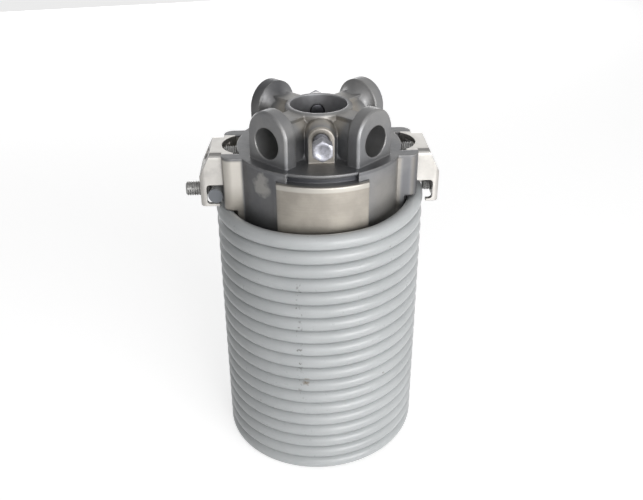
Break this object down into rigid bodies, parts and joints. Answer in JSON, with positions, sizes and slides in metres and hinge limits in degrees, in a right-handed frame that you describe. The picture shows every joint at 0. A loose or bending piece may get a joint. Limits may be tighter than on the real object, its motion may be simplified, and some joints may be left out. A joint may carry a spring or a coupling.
{
  "type": "garage door torsion spring",
  "caption": "Closed-coil torsion spring of a sectional door with a cast winding plug, winding bar sockets, set screws and folded clamps at its winding end.",
  "frame": {"origin": "centre of the shaft bore at the hub's top face, the winding end", "axes": "+Z along the door shaft out of the hub, -Y towards the front set screw, -X and +X towards the two wire clamps"},
  "size_m": [0.135, 0.1118, 0.2084],
  "materials": {
    "spring": "light grey coat on spring wire, satin",
    "plug": "die-cast grey alloy, fine cast grain, pads and face edges turned bright",
    "zinc": "bright zinc plated steel",
    "screw": "dull zinc plated steel",
    "bracket": "light zinc plated sheet steel, satin"
  },
  "bodies": {
    "root": {"torsion_spring": "spring", "winding_plug": "plug", "front_set_screw": "zinc", "rear_set_screw": "zinc", "left_side_screw": "screw", "right_side_screw": "screw", "left_clamp_bracket": "bracket", "right_clamp_bracket": "bracket", "left_clamp_screw": "screw", "right_clamp_screw": "screw"}
  },
  "joints": []
}
